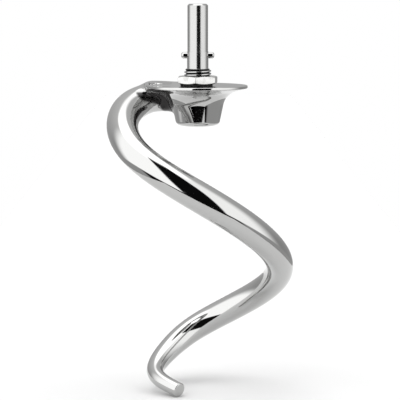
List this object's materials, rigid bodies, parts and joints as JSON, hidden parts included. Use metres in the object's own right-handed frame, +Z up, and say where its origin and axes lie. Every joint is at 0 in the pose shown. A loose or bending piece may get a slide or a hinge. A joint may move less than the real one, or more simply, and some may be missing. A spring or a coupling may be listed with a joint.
{
  "type": "spiral dough hook",
  "caption": "Spiral dough hook for a planetary stand mixer: drive shaft with cross pin and lock nut, trumpet-shaped dish and a tapering spiral rod.",
  "frame": {"origin": "on the shaft's axis at the shoulder below the ground shank, 0.3 mm above the top of the cross pin", "axes": "+Z up along the drive shaft, +X along the cross pin, -Y towards the front"},
  "size_m": [0.0957, 0.09, 0.1999],
  "materials": {
    "polished_steel": "mirror-polished stainless steel with light wear",
    "satin_steel": "satin stainless steel, finely machined",
    "black_rubber": "matte black rubber"
  },
  "bodies": {
    "shaft": {"drive_shaft": "polished_steel", "cross_pin": "polished_steel"},
    "nut": {"lock_nut": "satin_steel"},
    "seal": {"sealing_ring": "black_rubber"},
    "hook": {"dish": "polished_steel", "spiral_rod": "polished_steel"}
  },
  "joints": [
    {"name": "nut_travel", "type": "slide", "parent": "shaft", "child": "nut", "axis": [0, 0, 1], "range_m": [0, 0.0035]},
    {"name": "hook_travel", "type": "slide", "parent": "shaft", "child": "seal", "axis": [0, 0, 1], "range_m": [-0.006, 0]},
    {"name": "hook_turn", "type": "hinge", "parent": "seal", "child": "hook", "pos_m": [0, 0, -0.0172], "axis": [0, 0, 1], "range_deg": [-1440, 0]}
  ],
  "couplings": [
    {"joint": "hook_travel", "follows": "hook_turn", "m_per_rad": 0.0002387}
  ]
}
